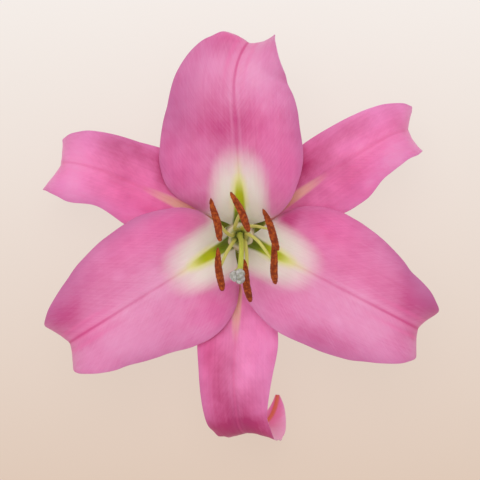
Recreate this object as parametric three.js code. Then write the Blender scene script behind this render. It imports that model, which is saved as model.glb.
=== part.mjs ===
// One open bloom of an oriental lily, picked with a short piece of its stalk and lying face up.
// Millimetres, +Z up. The flower's axis is vertical and its open face looks up.
import * as THREE from "three";

// ---- Driving dimensions --------------------------------------------------
// Angles are in degrees. A list of pairs gives a value at each share of a piece's length, 0 at its base.

// The three broad inner petals.
const PETAL = {
  length: 139,
  startRadius: 6.3,
  startHeight: 14,
  rise: [[0, 62], [0.1, 58], [0.25, 42], [0.42, 22], [0.58, 6], [0.7, -16], [0.78, -52], [0.84, -92],
    [0.92, -140], [1, -165]],
  half: [[0, 4.6], [0.03, 7.4], [0.08, 13.5], [0.14, 21.5], [0.25, 30.5], [0.36, 34.5], [0.48, 35],
    [0.6, 31.5], [0.7, 24.5], [0.78, 16.5], [0.86, 9.5], [0.94, 4.2], [1, 1]],
  cup: [[0, 20], [0.08, 38], [0.16, 38], [0.3, 26], [0.5, 12], [0.7, 14], [0.85, 24], [1, 20]],
  flare: [[0, 20], [0.08, 10], [0.16, -2], [0.3, -16], [0.5, -32], [0.66, -22], [0.78, 24], [0.9, 25],
    [1, 10]],
};

// The three narrower outer sepals, which curl back far enough to touch the surface.
const SEPAL = {
  length: 151,
  startRadius: 7.9,
  startHeight: 10,
  rise: [[0, 54], [0.12, 48], [0.28, 32], [0.44, 12], [0.56, -6], [0.65, -34], [0.72, -72], [0.8, -98],
    [0.9, -124], [1, -158]],
  half: [[0, 4], [0.06, 7], [0.14, 11], [0.26, 17], [0.38, 20], [0.5, 19], [0.6, 17], [0.68, 14.5],
    [0.78, 11], [0.88, 6.5], [0.95, 3], [1, 1]],
  cup: [[0, 15], [0.15, 28], [0.35, 10], [0.55, 10], [0.66, 16], [0.85, 20], [1, 16]],
  flare: [[0, 15], [0.15, 20], [0.35, -18], [0.52, -16], [0.63, 4], [0.72, 26], [0.9, 22], [1, 10]],
};

// Each tepal's own growth. azimuth: the side it grows to. swing: how far its heading has turned round
// the flower's axis. lean: its roll, which puts each clockwise margin in front of its neighbour. drift:
// how far its line slews within its own face. rise is added to its kind's. In clockwise and
// anticlockwise, width scales that half, and half, cup and flare are added to its kind's.
const TEPALS = {
  petal_top: {
    kind: PETAL,
    azimuth: 90,
    stretch: 0.97,
    swing: [[0, 0], [0.3, 3], [0.54, 4], [0.66, -10], [0.76, -28], [0.88, -34]],
    lean: [[0, -8], [0.5, -4], [1, 0]],
    clockwise: {
      width: 0.91,
      half: [[0, 0], [0.3, 0.4], [0.48, -1.2], [0.6, -1.4], [0.7, 0.2], [0.78, 0.4], [0.88, 3], [1, 0]],
      cup: [[0, 0], [0.62, 0], [0.76, 6], [1, 4]],
      flare: [[0, 0], [0.64, 0], [0.77, 44], [1, 0]],
    },
    anticlockwise: {
      width: 1.03,
      half: [[0, 0], [0.14, 0], [0.26, 3.4], [0.42, 1.8], [0.56, -1.4], [0.68, -2], [0.78, -0.8], [1, 0]],
      cup: [[0, 0], [0.64, 0], [0.78, -12], [1, -12]],
      flare: [[0, 0], [0.66, 0], [0.78, -52], [1, -30]],
    },
  },
  petal_left: {
    kind: PETAL,
    azimuth: 212,
    stretch: 0.993,
    lean: [[0, -8], [0.5, -3], [1, 0]],
    clockwise: { half: [[0, 0], [0.4, -0.6], [0.55, -1.6], [0.7, -1], [0.8, 0]] },
    anticlockwise: {
      half: [[0, 0], [0.28, 1], [0.4, -0.8], [0.52, -4.6], [0.62, -4.8], [0.7, -2.2], [0.78, 0]],
    },
  },
  petal_right: {
    kind: PETAL,
    azimuth: -27.5,
    stretch: 0.99,
    lean: [[0, -8], [0.5, -3], [1, 0]],
    clockwise: { width: 0.98, half: [[0, 0], [0.36, -1.4], [0.5, -2.4], [0.64, -1.4], [0.76, 0]] },
    anticlockwise: {
      width: 0.97,
      half: [[0, 0], [0.4, -0.4], [0.54, -2.6], [0.66, -3.6], [0.76, -0.8], [1, 0]],
    },
  },
  sepal_right: {
    kind: SEPAL,
    azimuth: 36,
    stretch: 0.985,
    rise: [[0, 0], [0.1, -0.7]],
    swing: [[0, 0], [0.4, -2], [0.6, -8], [0.7, -22], [1, -26]],
    clockwise: {
      width: 0.96,
      half: [[0, 0], [0.3, 1], [0.44, 1.6], [0.54, -1.4], [0.62, -1.2], [0.7, 0]],
      cup: [[0, 0], [0.6, 0], [0.7, -10], [1, -6]],
    },
    anticlockwise: { width: 0.93, cup: [[0, 0], [0.6, 0], [0.7, 8], [1, 5]] },
  },
  sepal_left: {
    kind: SEPAL,
    azimuth: 152,
    stretch: 0.955,
    rise: [[0, 0], [0.1, -1.6]],
    swing: [[0, 0], [0.4, 4], [0.65, 10], [0.8, 16]],
    drift: [[0, 0], [0.5, 0], [0.7, 10], [1, 14]],
    clockwise: {
      half: [[0, 0], [0.2, 0], [0.32, 1.8], [0.46, 0]],
      cup: [[0, 0], [0.6, 0], [0.7, -12], [1, -6]],
      flare: [[0, 0], [0.6, 0], [0.7, -24], [1, -6]],
    },
    anticlockwise: {
      half: [[0, 0], [0.36, 0], [0.5, -2.2], [0.64, 2.8], [0.76, 3], [1, 0]],
      cup: [[0, 0], [0.6, 0], [0.7, 6], [1, 4]],
    },
  },
  sepal_bottom: {
    kind: SEPAL,
    azimuth: -91,
    stretch: 1.028,
    rise: [[0, 0], [0.15, -2.2], [0.5, -4.4], [0.6, -10], [0.69, -22], [0.78, 8], [0.85, 17], [0.91, -4],
      [1, -40]],
    swing: [[0, -2], [0.4, -2], [0.52, 5], [0.66, 10]],
    drift: [[0, 0], [0.57, 0], [0.67, 15], [0.8, 19], [0.9, 33], [1, 14]],
    clockwise: {
      width: 0.93,
      half: [[0, 0], [0.34, -0.2], [0.46, -1.4], [0.58, -1], [0.7, 0]],
      cup: [[0, 0], [0.56, 0], [0.66, -10], [1, -8]],
      flare: [[0, 0], [0.56, 0], [0.66, -34], [1, -20]],
    },
    anticlockwise: {
      width: 0.95,
      half: [[0, 0], [0.3, 2.4], [0.46, 0.2], [0.6, -1.8], [0.7, 2], [0.88, 4.5], [0.96, 2.5], [1, 0]],
      cup: [[0, 0], [0.56, 0], [0.66, -4], [1, -6]],
      flare: [[0, 0], [0.6, 0], [0.7, 16], [0.8, 16], [0.9, 0]],
    },
  },
};
const TEPAL_THICK = 1.3;
const MARGIN_THICK = 0.8;
const RIPPLE = 1.1;
const RIPPLES = 3.4;
const RIPPLE_SHIFT = 0.11;
const TEPAL_ROWS = 24;
const TEPAL_COLUMNS = 5;
const MIDLINE_STEPS = 480;

// The stalk and the knob it widens into, which carries every other piece.
const STALK_RADIUS = 2.9;
const STALK_END = 2.5;
const KNOB_TOP = 13;
const KNOB_PROFILE = [[2.7, STALK_END], [STALK_RADIUS, 2.9], [3.1, 4.2], [4.8, 6.3], [7.9, 8.1], [8.3, 8.8],
  [7.3, 9.4], [7, 12.2], [6.4, KNOB_TOP]];
const STALK_SIDES = 24;

// Each stamen: the side it grows on, two points its filament bends through, its tip, and the heading and
// tilt of the anther balanced on that tip.
const STAMENS = [
  { side: 151, bends: [[-3.9, 0.2, 42], [-6.7, 1.9, 55]], tip: [-11.1, 7.4, 67], heading: -78, tilt: 5 },
  { side: 91, bends: [[-2.5, 3.6, 42], [-1.4, 7.2, 56]], tip: [0.2, 11.3, 68], heading: -65, tilt: -6 },
  { side: 33, bends: [[1.4, 4.1, 42], [7, 4.6, 57]], tip: [14.2, 2.9, 70.5], heading: -69.6, tilt: 1 },
  { side: -28, bends: [[3.4, 0.9, 44], [8.8, -2.8, 57]], tip: [15.8, -12.6, 64.5], heading: -86, tilt: 13 },
  { side: -90, bends: [[2.3, -2.6, 42], [3.2, -10, 56]], tip: [3.1, -20.9, 64.6], heading: -81, tilt: 11 },
  { side: 212, bends: [[-2.9, -2.4, 42], [-6.6, -8.4, 56]], tip: [-9.5, -15.6, 67], heading: -84, tilt: 10 },
];
const FILAMENT_RING = 3.2;
const FILAMENT_BASE = 0.95;
const FILAMENT_TIP = 0.4;
const FILAMENT_STEPS = 14;
const FILAMENT_SIDES = 8;
const ANTHER_LENGTH = 20.6;
const ANTHER_WIDTH = 2.75;
const ANTHER_DEPTH = 2.4;
const ANTHER_STEPS = 9;
const ANTHER_SIDES = 8;
const GAP = 0.5;

// The pistil: a ribbed ovary, a long style and a stigma of three lobes, grown as one.
const PISTIL_PATH = [[0, 0, KNOB_TOP + GAP], [0, 0.2, 36], [0.7, -4.2, 59], [0.2, -13.6, 74.5],
  [-1.1, -19.4, 82]];
const PISTIL_RADIUS = [[0, 1.4], [0.04, 1.65], [0.28, 1.65], [0.36, 1.4], [0.5, 1.25], [0.9, 1.3],
  [0.94, 2.4], [0.975, 3.7], [1, 2.8]];
const PISTIL_LOBES = [[0, 0.04], [0.3, 0.04], [0.36, 0], [0.9, 0], [0.95, 0.14], [1, 0.2]];
const PISTIL_STEPS = 34;
const PISTIL_SIDES = 12;

const MATERIALS = {
  petal: { color: "#dc84b6", roughness: 0.55 },
  sepal: { color: "#e2719f", roughness: 0.55 },
  stalk: { color: "#7f9a4a", roughness: 0.6 },
  filament: { color: "#b9b653", roughness: 0.5 },
  anther: { color: "#8a3d19", roughness: 0.95 },
  pistil: { color: "#b4bd4c", roughness: 0.5 },
};

// ---- Helpers ---------------------------------------------------------------

const radians = THREE.MathUtils.degToRad;

// The value at share x of a smooth curve through the pairs, which never overshoots them.
function valueAt(pairs, x) {
  if (!pairs) return 0;
  const last = pairs.length - 1;
  if (x <= pairs[0][0]) return pairs[0][1];
  if (x >= pairs[last][0]) return pairs[last][1];
  let i = 0;
  while (pairs[i + 1][0] < x) i += 1;
  const span = (k) => pairs[k + 1][0] - pairs[k][0];
  const chord = (k) => (pairs[k + 1][1] - pairs[k][1]) / span(k);
  const slope = (k) => {
    if (k === 0) return chord(0);
    if (k === last) return chord(last - 1);
    const before = chord(k - 1);
    const after = chord(k);
    if (before * after <= 0) return 0;
    return (span(k - 1) + span(k)) / (span(k) / before + span(k - 1) / after);
  };
  const t = (x - pairs[i][0]) / span(i);
  return (1 + 2 * t) * (1 - t) ** 2 * pairs[i][1]
    + t * (1 - t) ** 2 * span(i) * slope(i)
    + t * t * (3 - 2 * t) * pairs[i + 1][1]
    + t * t * (t - 1) * span(i) * slope(i + 1);
}

// A closed mesh from a list of corner points and triangles.
function solid(points, triangles) {
  const geometry = new THREE.BufferGeometry();
  const places = points.flatMap((p) => [p.x, p.y, p.z]);
  geometry.setAttribute("position", new THREE.Float32BufferAttribute(places, 3));
  geometry.setIndex(triangles.flat());
  geometry.computeVertexNormals();
  return geometry;
}

// A solid swept along a smooth path. edge(share, turn) gives the surface's two offsets across the path.
function sweep(path, steps, sides, edge) {
  const frames = path.computeFrenetFrames(steps, false);
  const points = [];
  const triangles = [];
  for (let i = 0; i <= steps; i += 1) {
    const [centre, one, two] = [path.getPointAt(i / steps), frames.normals[i], frames.binormals[i]];
    for (let j = 0; j < sides; j += 1) {
      const [a, b] = edge(i / steps, (j / sides) * 2 * Math.PI);
      points.push(centre.clone().addScaledVector(one, a).addScaledVector(two, b));
    }
  }
  const start = points.push(path.getPointAt(0)) - 1;
  const end = points.push(path.getPointAt(1)) - 1;
  for (let j = 0; j < sides; j += 1) {
    const k = (j + 1) % sides;
    for (let i = 0; i < steps; i += 1) {
      const [a, b, c, d] = [i * sides + j, i * sides + k, (i + 1) * sides + k, (i + 1) * sides + j];
      triangles.push([a, b, c], [a, c, d]);
    }
    triangles.push([start, k, j], [end, steps * sides + j, steps * sides + k]);
  }
  return solid(points, triangles);
}

// A curve through the given points.
function smoothPath(points) {
  const corners = points.map((p) => new THREE.Vector3(...p));
  return new THREE.CatmullRomCurve3(corners, false, "catmullrom", 0.5);
}

// ---- Tepals ----------------------------------------------------------------

// The directions on a tepal's midline: along it, across to the anticlockwise side, and out of its face.
function frameAt(own, x) {
  const rise = radians(valueAt(own.kind.rise, x) + valueAt(own.rise, x));
  const side = radians(own.azimuth + valueAt(own.swing, x));
  const level = Math.cos(rise);
  const along = new THREE.Vector3(level * Math.cos(side), level * Math.sin(side), Math.sin(rise));
  const flat = new THREE.Vector3(-Math.sin(side), Math.cos(side), 0);
  const out = new THREE.Vector3().crossVectors(along, flat);
  const lean = radians(valueAt(own.lean, x));
  const across = flat.clone().multiplyScalar(Math.cos(lean)).addScaledVector(out, Math.sin(lean));
  out.multiplyScalar(Math.cos(lean)).addScaledVector(flat, -Math.sin(lean));
  const drift = radians(valueAt(own.drift, x));
  return {
    along: along.clone().multiplyScalar(Math.cos(drift)).addScaledVector(across, Math.sin(drift)),
    across: across.clone().multiplyScalar(Math.cos(drift)).addScaledVector(along, -Math.sin(drift)),
    out,
  };
}

// The inner face as rows of points from the clockwise margin, over the midline, to the other margin.
function tepalFace(own) {
  const { kind } = own;
  const step = (kind.length * (own.stretch ?? 1)) / MIDLINE_STEPS;
  const start = radians(own.azimuth);
  const at = new THREE.Vector3(Math.cos(start) * kind.startRadius, Math.sin(start) * kind.startRadius,
    kind.startHeight);
  const rows = [];
  for (let m = 0; m <= MIDLINE_STEPS; m += 1) {
    const x = m / MIDLINE_STEPS;
    if (m > 0) at.addScaledVector(frameAt(own, x - 0.5 / MIDLINE_STEPS).along, step);
    if (m % (MIDLINE_STEPS / TEPAL_ROWS) !== 0) continue;
    const { across, out } = frameAt(own, x);
    const half = (sign, change = {}) => {
      const width = valueAt(kind.half, x) * (change.width ?? 1) + valueAt(change.half, x);
      const cup = valueAt(kind.cup, x) + valueAt(change.cup, x);
      const flare = valueAt(kind.flare, x) + valueAt(change.flare, x);
      const ends = Math.min(1, 3 * x, 4 * (1 - x));
      const wave = RIPPLE * Math.sin(2 * Math.PI * RIPPLES * (x + RIPPLE_SHIFT * sign)) * ends;
      const points = [];
      let [reach, lift] = [0, 0];
      for (let c = 1; c <= TEPAL_COLUMNS; c += 1) {
        const middle = (c - 0.5) / TEPAL_COLUMNS;
        const slope = radians(cup * (1 - middle) + flare * middle);
        reach += (Math.cos(slope) * width) / TEPAL_COLUMNS;
        lift += (Math.sin(slope) * width) / TEPAL_COLUMNS;
        const ripple = wave * (c / TEPAL_COLUMNS) ** 2.5;
        points.push(at.clone().addScaledVector(across, sign * reach).addScaledVector(out, lift + ripple));
      }
      return points;
    };
    rows.push([...half(-1, own.clockwise).reverse(), at.clone(), ...half(1, own.anticlockwise)]);
  }
  return rows;
}

// The outward normal of the inner face at row i, column j.
function faceNormal(rows, i, j) {
  const clamp = (k, n) => Math.max(0, Math.min(n - 1, k));
  const row = (k) => rows[clamp(k, rows.length)];
  const column = (k) => rows[i][clamp(k, rows[i].length)];
  const along = row(i + 1)[j].clone().sub(row(i - 1)[j]);
  const across = column(j + 1).clone().sub(column(j - 1));
  return along.cross(across).normalize();
}

// A tepal's closed skin: the inner face, the outer one under it, and the margins that join them.
function tepalGeometry(own) {
  const rows = tepalFace(own);
  const wide = rows[0].length;
  const inner = rows.flat();
  const outer = rows.flatMap((row, i) => row.map((p, j) => {
    const share = Math.abs(j - TEPAL_COLUMNS) / TEPAL_COLUMNS;
    const thick = TEPAL_THICK + (MARGIN_THICK - TEPAL_THICK) * share;
    return p.clone().addScaledVector(faceNormal(rows, i, j), -thick);
  }));
  const below = inner.length;
  const triangles = [];
  const quad = (a, b, c, d) => triangles.push([a, b, c], [a, c, d]);
  for (let i = 0; i + 1 < rows.length; i += 1) {
    for (let j = 0; j + 1 < wide; j += 1) {
      const a = i * wide + j;
      quad(a, a + wide, a + wide + 1, a + 1);
      quad(below + a, below + a + 1, below + a + wide + 1, below + a + wide);
    }
    const left = i * wide;
    const right = left + wide - 1;
    quad(left, below + left, below + left + wide, left + wide);
    quad(right, right + wide, below + right + wide, below + right);
  }
  const lastRow = (rows.length - 1) * wide;
  for (let j = 0; j + 1 < wide; j += 1) {
    quad(j, j + 1, below + j + 1, below + j);
    quad(lastRow + j, below + lastRow + j, below + lastRow + j + 1, lastRow + j + 1);
  }
  return solid([...inner, ...outer], triangles);
}

// ---- Assembly ----------------------------------------------------------------

const bloom = new THREE.Group();
bloom.name = "lily_bloom";
const flower = new THREE.Group();
flower.name = "flower";
bloom.add(flower);

// Puts a named piece in the flower.
function add(name, geometry, material) {
  const finish = new THREE.MeshStandardMaterial({ ...MATERIALS[material], metalness: 0 });
  const mesh = new THREE.Mesh(geometry, finish);
  mesh.name = name;
  flower.add(mesh);
  return mesh;
}

const knobCorners = [[0, STALK_END], ...KNOB_PROFILE, [0, KNOB_TOP]];
const knobOutline = knobCorners.map(([r, z]) => new THREE.Vector2(r, z));
add("stalk", new THREE.LatheGeometry(knobOutline, STALK_SIDES).rotateX(Math.PI / 2), "stalk");

for (const [name, own] of Object.entries(TEPALS)) {
  add(name, tepalGeometry(own), own.kind === PETAL ? "petal" : "sepal");
}

// An anther lies along +X with its back, where the filament meets it, at the origin.
const antherPath = smoothPath([-0.5, -0.25, 0, 0.25, 0.5].map((s) => [s * ANTHER_LENGTH, 0, -3 * s * s]));
function antherEdge(share, turn) {
  const swell = Math.sqrt(Math.max(0.1, 1 - Math.abs(2 * share - 1) ** 2.6));
  const groove = 1 + 0.14 * Math.cos(2 * turn);
  const thick = (swell * groove) / 2;
  return [thick * ANTHER_WIDTH * Math.cos(turn), thick * ANTHER_DEPTH * Math.sin(turn)];
}

STAMENS.forEach(({ side, bends, tip, heading, tilt }, n) => {
  const root = radians(side);
  const foot = [FILAMENT_RING * Math.cos(root), FILAMENT_RING * Math.sin(root), KNOB_TOP + GAP];
  const filament = smoothPath([foot, ...bends, tip]);
  const taper = (share, turn) => {
    const radius = FILAMENT_BASE + (FILAMENT_TIP - FILAMENT_BASE) * share;
    return [radius * Math.cos(turn), radius * Math.sin(turn)];
  };
  add(`filament_${n + 1}`, sweep(filament, FILAMENT_STEPS, FILAMENT_SIDES, taper), "filament");

  const sacs = sweep(antherPath, ANTHER_STEPS, ANTHER_SIDES, antherEdge);
  const anther = add(`anther_${n + 1}`, sacs, "anther");
  anther.position.set(tip[0], tip[1], tip[2] + ANTHER_DEPTH / 2 + GAP);
  anther.rotation.set(0, radians(tilt), radians(heading), "ZYX");
});

const pistilEdge = (share, turn) => {
  const radius = valueAt(PISTIL_RADIUS, share) * (1 + valueAt(PISTIL_LOBES, share) * Math.cos(3 * turn));
  return [radius * Math.cos(turn), radius * Math.sin(turn)];
};
add("pistil", sweep(smoothPath(PISTIL_PATH), PISTIL_STEPS, PISTIL_SIDES, pistilEdge), "pistil");

// The bloom stands centred on the frame's origin, with its lowest point on the surface.
const box = new THREE.Box3().setFromObject(flower);
const middle = box.getCenter(new THREE.Vector3());
flower.position.set(-middle.x, -middle.y, -box.min.z);

export default bloom;
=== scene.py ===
# %% [markdown]
# # One cut lily
# This is the open bloom of a pink oriental lily, picked with a stub of its stalk and laid face up.
# A lily has six tepals: three broad petals in front and three narrower sepals behind them.
# Six stamens and one pistil stand in the middle.
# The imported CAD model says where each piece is, so it is loaded first and every finer piece is
# grown again in exactly the same place.

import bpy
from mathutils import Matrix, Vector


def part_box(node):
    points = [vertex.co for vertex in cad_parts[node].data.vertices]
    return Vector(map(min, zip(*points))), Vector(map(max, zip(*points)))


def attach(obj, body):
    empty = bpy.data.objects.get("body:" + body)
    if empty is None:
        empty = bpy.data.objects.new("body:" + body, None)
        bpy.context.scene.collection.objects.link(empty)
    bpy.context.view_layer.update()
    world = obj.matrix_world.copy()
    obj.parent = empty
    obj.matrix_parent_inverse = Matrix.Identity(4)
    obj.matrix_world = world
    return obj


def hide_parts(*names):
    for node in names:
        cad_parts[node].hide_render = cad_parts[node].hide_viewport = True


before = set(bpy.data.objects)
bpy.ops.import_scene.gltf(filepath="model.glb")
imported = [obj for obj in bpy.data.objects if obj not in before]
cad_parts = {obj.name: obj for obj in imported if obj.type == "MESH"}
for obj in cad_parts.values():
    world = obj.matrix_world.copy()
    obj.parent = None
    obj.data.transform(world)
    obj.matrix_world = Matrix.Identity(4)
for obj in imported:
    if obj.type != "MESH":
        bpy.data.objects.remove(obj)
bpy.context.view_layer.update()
print("CAD nodes:", len(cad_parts))

import bpy
import numpy as np
from mathutils import Vector, noise

MM = 0.001
TURN = 2 * np.pi

# %% [markdown]
# ## Where the flower stands
# All the sizes below are millimetres from the flower's own zero: a point on its axis, just below the
# stalk's cut end. The top of the knob is 13 mm above it, and reading the stalk's box for that top ties
# the zero to the CAD model, so nothing here has to be moved by hand.

# %% The flower's zero
KNOB_TOP = 13.0
stalk_low, stalk_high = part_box("stalk")
ZERO = np.array([
    (stalk_low.x + stalk_high.x) / 2,
    (stalk_low.y + stalk_high.y) / 2,
    stalk_high.z - KNOB_TOP * MM,
])


def placed(points):
    """Flower millimetres to scene metres."""
    return ZERO + np.asarray(points, float) * MM


print("flower zero:", ZERO.round(5))

# %% [markdown]
# ## The camera
# A bloom lying on a table is looked at from straight above, from far enough away that the raised
# stamens don't swell. A long lens does that. The camera looks down its own -Z, so it needs no turn.

# %% Put the camera over the bloom
CAMERA_HEIGHT = 845
CAMERA_BACK = 1.9
FOCAL_LENGTH = 126.3

camera = bpy.data.objects.new("camera", bpy.data.cameras.new("camera"))
camera.data.sensor_width = 36
camera.data.lens = FOCAL_LENGTH
camera.location = placed([0, -CAMERA_BACK, CAMERA_HEIGHT])
bpy.context.collection.objects.link(camera)
bpy.context.scene.camera = camera
print("camera height:", round(camera.location.z, 3))

# %% [markdown]
# ## Short ways to write a material
# A material is a tree of small nodes. Each helper adds a node or two and returns an output, so that
# a pattern reads like a sum: take a distance, fade it, and mix two colours by the result.

# %% Node helpers


def colour(red, green, blue):
    """A colour given as on a screen, 0 to 255, in the linear numbers that shaders use."""
    share = np.array([red, green, blue]) / 255
    linear = np.where(share > 0.04045, ((share + 0.055) / 1.055) ** 2.4, share / 12.92)
    return (*linear, 1.0)


def plug(tree, socket, value):
    """Wires a socket to another node's output, or sets it to a plain value."""
    if isinstance(value, bpy.types.NodeSocket):
        tree.links.new(value, socket)
    else:
        socket.default_value = value


def calc(tree, operation, first, second=0.0):
    """One step of arithmetic."""
    node = tree.nodes.new("ShaderNodeMath")
    node.operation = operation
    plug(tree, node.inputs[0], first)
    plug(tree, node.inputs[1], second)
    return node.outputs[0]


def times(tree, first, second):
    """Two values multiplied."""
    return calc(tree, "MULTIPLY", first, second)


def minus(tree, first, second):
    """The second value taken from the first."""
    return calc(tree, "SUBTRACT", first, second)


def plus(tree, total, *more):
    """Values added up."""
    for value in more:
        total = calc(tree, "ADD", total, value)
    return total


def fade(tree, value, start, end, low=0.0, high=1.0):
    """Goes smoothly from low to high while value goes from start to end."""
    node = tree.nodes.new("ShaderNodeMapRange")
    node.interpolation_type = "SMOOTHSTEP"
    for name, setting in zip(("Value", "From Min", "From Max", "To Min", "To Max"),
                             (value, start, end, low, high)):
        plug(tree, node.inputs[name], setting)
    return node.outputs["Result"]


def blend(tree, amount, under, over):
    """Lays one colour over another by an amount, which is held between 0 and 1."""
    node = tree.nodes.new("ShaderNodeMix")
    node.data_type = "RGBA"
    node.clamp_factor = True
    plug(tree, node.inputs[0], amount)
    plug(tree, node.inputs[6], under)
    plug(tree, node.inputs[7], over)
    return node.outputs[2]


def join(tree, x, y, z=0.0):
    """Three numbers as one place."""
    node = tree.nodes.new("ShaderNodeCombineXYZ")
    for socket, value in zip(node.inputs, (x, y, z)):
        plug(tree, socket, value)
    return node.outputs[0]


def cloud(tree, place, scale=1.0, detail=2.0, roughness=0.5):
    """Soft noise, 0 to 1, at a place."""
    node = tree.nodes.new("ShaderNodeTexNoise")
    for name, setting in zip(("Vector", "Scale", "Detail", "Roughness"),
                             (place, scale, detail, roughness)):
        plug(tree, node.inputs[name], setting)
    return node.outputs["Fac"]


def cells(tree, place, scale):
    """How far each place is from the middle of its cell, in a pattern of cells of one size."""
    node = tree.nodes.new("ShaderNodeTexVoronoi")
    plug(tree, node.inputs["Vector"], place)
    plug(tree, node.inputs["Scale"], scale)
    return node.outputs["Distance"]


def own_place(tree):
    """Each point's place on its own piece, in metres."""
    return tree.nodes.new("ShaderNodeTexCoord").outputs["Object"]


def painted(tree, name):
    """The three numbers that a mesh stores at each vertex under a name."""
    node = tree.nodes.new("ShaderNodeAttribute")
    node.attribute_name = name
    split = tree.nodes.new("ShaderNodeSeparateXYZ")
    tree.links.new(node.outputs["Vector"], split.inputs[0])
    return split.outputs


def new_group(name, inputs, outputs):
    """An empty node group, with the sockets that its nodes read and fill."""
    group = bpy.data.node_groups.new(name, "ShaderNodeTree")
    for label, start in inputs.items():
        kind = "NodeSocketColor" if isinstance(start, tuple) else "NodeSocketFloat"
        socket = group.interface.new_socket(label, in_out="INPUT", socket_type=kind)
        socket.default_value = start
    for label, kind in outputs.items():
        group.interface.new_socket(label, in_out="OUTPUT", socket_type="NodeSocket" + kind)
    return group, group.nodes.new("NodeGroupInput").outputs, group.nodes.new("NodeGroupOutput").inputs


def use_group(tree, group, values):
    """Places a group in a material with its own values, and returns its outputs."""
    node = tree.nodes.new("ShaderNodeGroup")
    node.node_tree = group
    for label, value in values.items():
        plug(tree, node.inputs[label], value)
    return node.outputs


def new_material(name, settings):
    """A material whose one shader has its constant settings on its own sockets."""
    material = bpy.data.materials.new(name)
    material.use_nodes = True
    shader = material.node_tree.nodes["Principled BSDF"]
    for label, value in settings.items():
        shader.inputs[label].default_value = value
    return material, material.node_tree, shader.inputs


def bump(tree, height, distance):
    """A normal that stands for relief too fine to model, with its depth in millimetres."""
    node = tree.nodes.new("ShaderNodeBump")
    node.inputs["Distance"].default_value = distance * MM
    plug(tree, node.inputs["Height"], height)
    return node.outputs["Normal"]


# %% [markdown]
# ## The smooth curve behind every shape
# A petal is described by a few stations: how wide it is here, how steeply it climbs there.
# Between stations the value has to glide without bulging past them, as a draughtsman's spline does.
# The slope at each station is therefore held to what its two neighbours allow.

# %% Values between stations


def value_at(stations, x):
    """The value at each share x of a smooth curve through (share, value) stations."""
    x = np.asarray(x, float)
    if not stations:
        return np.zeros_like(x)
    at, value = np.array(stations, float).T
    span = np.diff(at)
    chord = np.diff(value) / span
    slope = np.concatenate([chord[:1], np.zeros(len(at) - 2), chord[-1:]])
    for k in range(1, len(at) - 1):
        if chord[k - 1] * chord[k] > 0:
            weight = span[k - 1] / chord[k] + span[k] / chord[k - 1]
            slope[k] = (span[k - 1] + span[k]) / weight
    i = np.clip(np.searchsorted(at, x) - 1, 0, len(span) - 1)
    t = np.clip((x - at[i]) / span[i], 0, 1)
    return (
        (1 + 2 * t) * (1 - t) ** 2 * value[i]
        + t * (1 - t) ** 2 * span[i] * slope[i]
        + t * t * (3 - 2 * t) * value[i + 1]
        + t * t * (t - 1) * span[i] * slope[i + 1]
    )


# %% [markdown]
# ## How a tepal grows
# A tepal starts upright at the knob, spreads, and at last curls back under itself. Its midrib is
# followed step by step: at each share of its length it points at some angle above the level (rise)
# and towards some side. The blade leaves the midrib at the slope called cup and reaches the margin at
# the slope called flare, which makes the shallow boat shape of the petals.

# %% Growth of the two kinds of tepal
PETAL = {
    "length": 139, "start_radius": 6.3, "start_height": 14,
    "rise": [(0, 62), (.1, 58), (.25, 42), (.42, 22), (.58, 6), (.7, -16), (.78, -52), (.84, -92),
             (.92, -140), (1, -165)],
    "half": [(0, 4.6), (.03, 7.4), (.08, 13.5), (.14, 21.5), (.25, 30.5), (.36, 34.5), (.48, 35),
             (.6, 31.5), (.7, 24.5), (.78, 16.5), (.86, 9.5), (.94, 4.2), (1, 1)],
    "cup": [(0, 20), (.08, 38), (.16, 38), (.3, 26), (.5, 12), (.7, 14), (.85, 24), (1, 20)],
    "flare": [(0, 20), (.08, 10), (.16, -2), (.3, -16), (.5, -32), (.66, -22), (.78, 24), (.9, 25),
              (1, 10)],
}
SEPAL = {
    "length": 151, "start_radius": 7.9, "start_height": 10,
    "rise": [(0, 54), (.12, 48), (.28, 32), (.44, 12), (.56, -6), (.65, -34), (.72, -72), (.8, -98),
             (.9, -124), (1, -158)],
    "half": [(0, 4), (.06, 7), (.14, 11), (.26, 17), (.38, 20), (.5, 19), (.6, 17), (.68, 14.5),
             (.78, 11), (.88, 6.5), (.95, 3), (1, 1)],
    "cup": [(0, 15), (.15, 28), (.35, 10), (.55, 10), (.66, 16), (.85, 20), (1, 16)],
    "flare": [(0, 15), (.15, 20), (.35, -18), (.52, -16), (.63, 4), (.72, 26), (.9, 22), (1, 10)],
}
print("petal and sepal length (mm):", PETAL["length"], SEPAL["length"])

# %% [markdown]
# No two tepals of a real flower are alike, and copies of one shape look cast. Each therefore has its
# own turn of the tip (swing), its own roll (lean), its own sideways slew (drift) and its own changes
# to the half on its clockwise and anticlockwise side.

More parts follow.
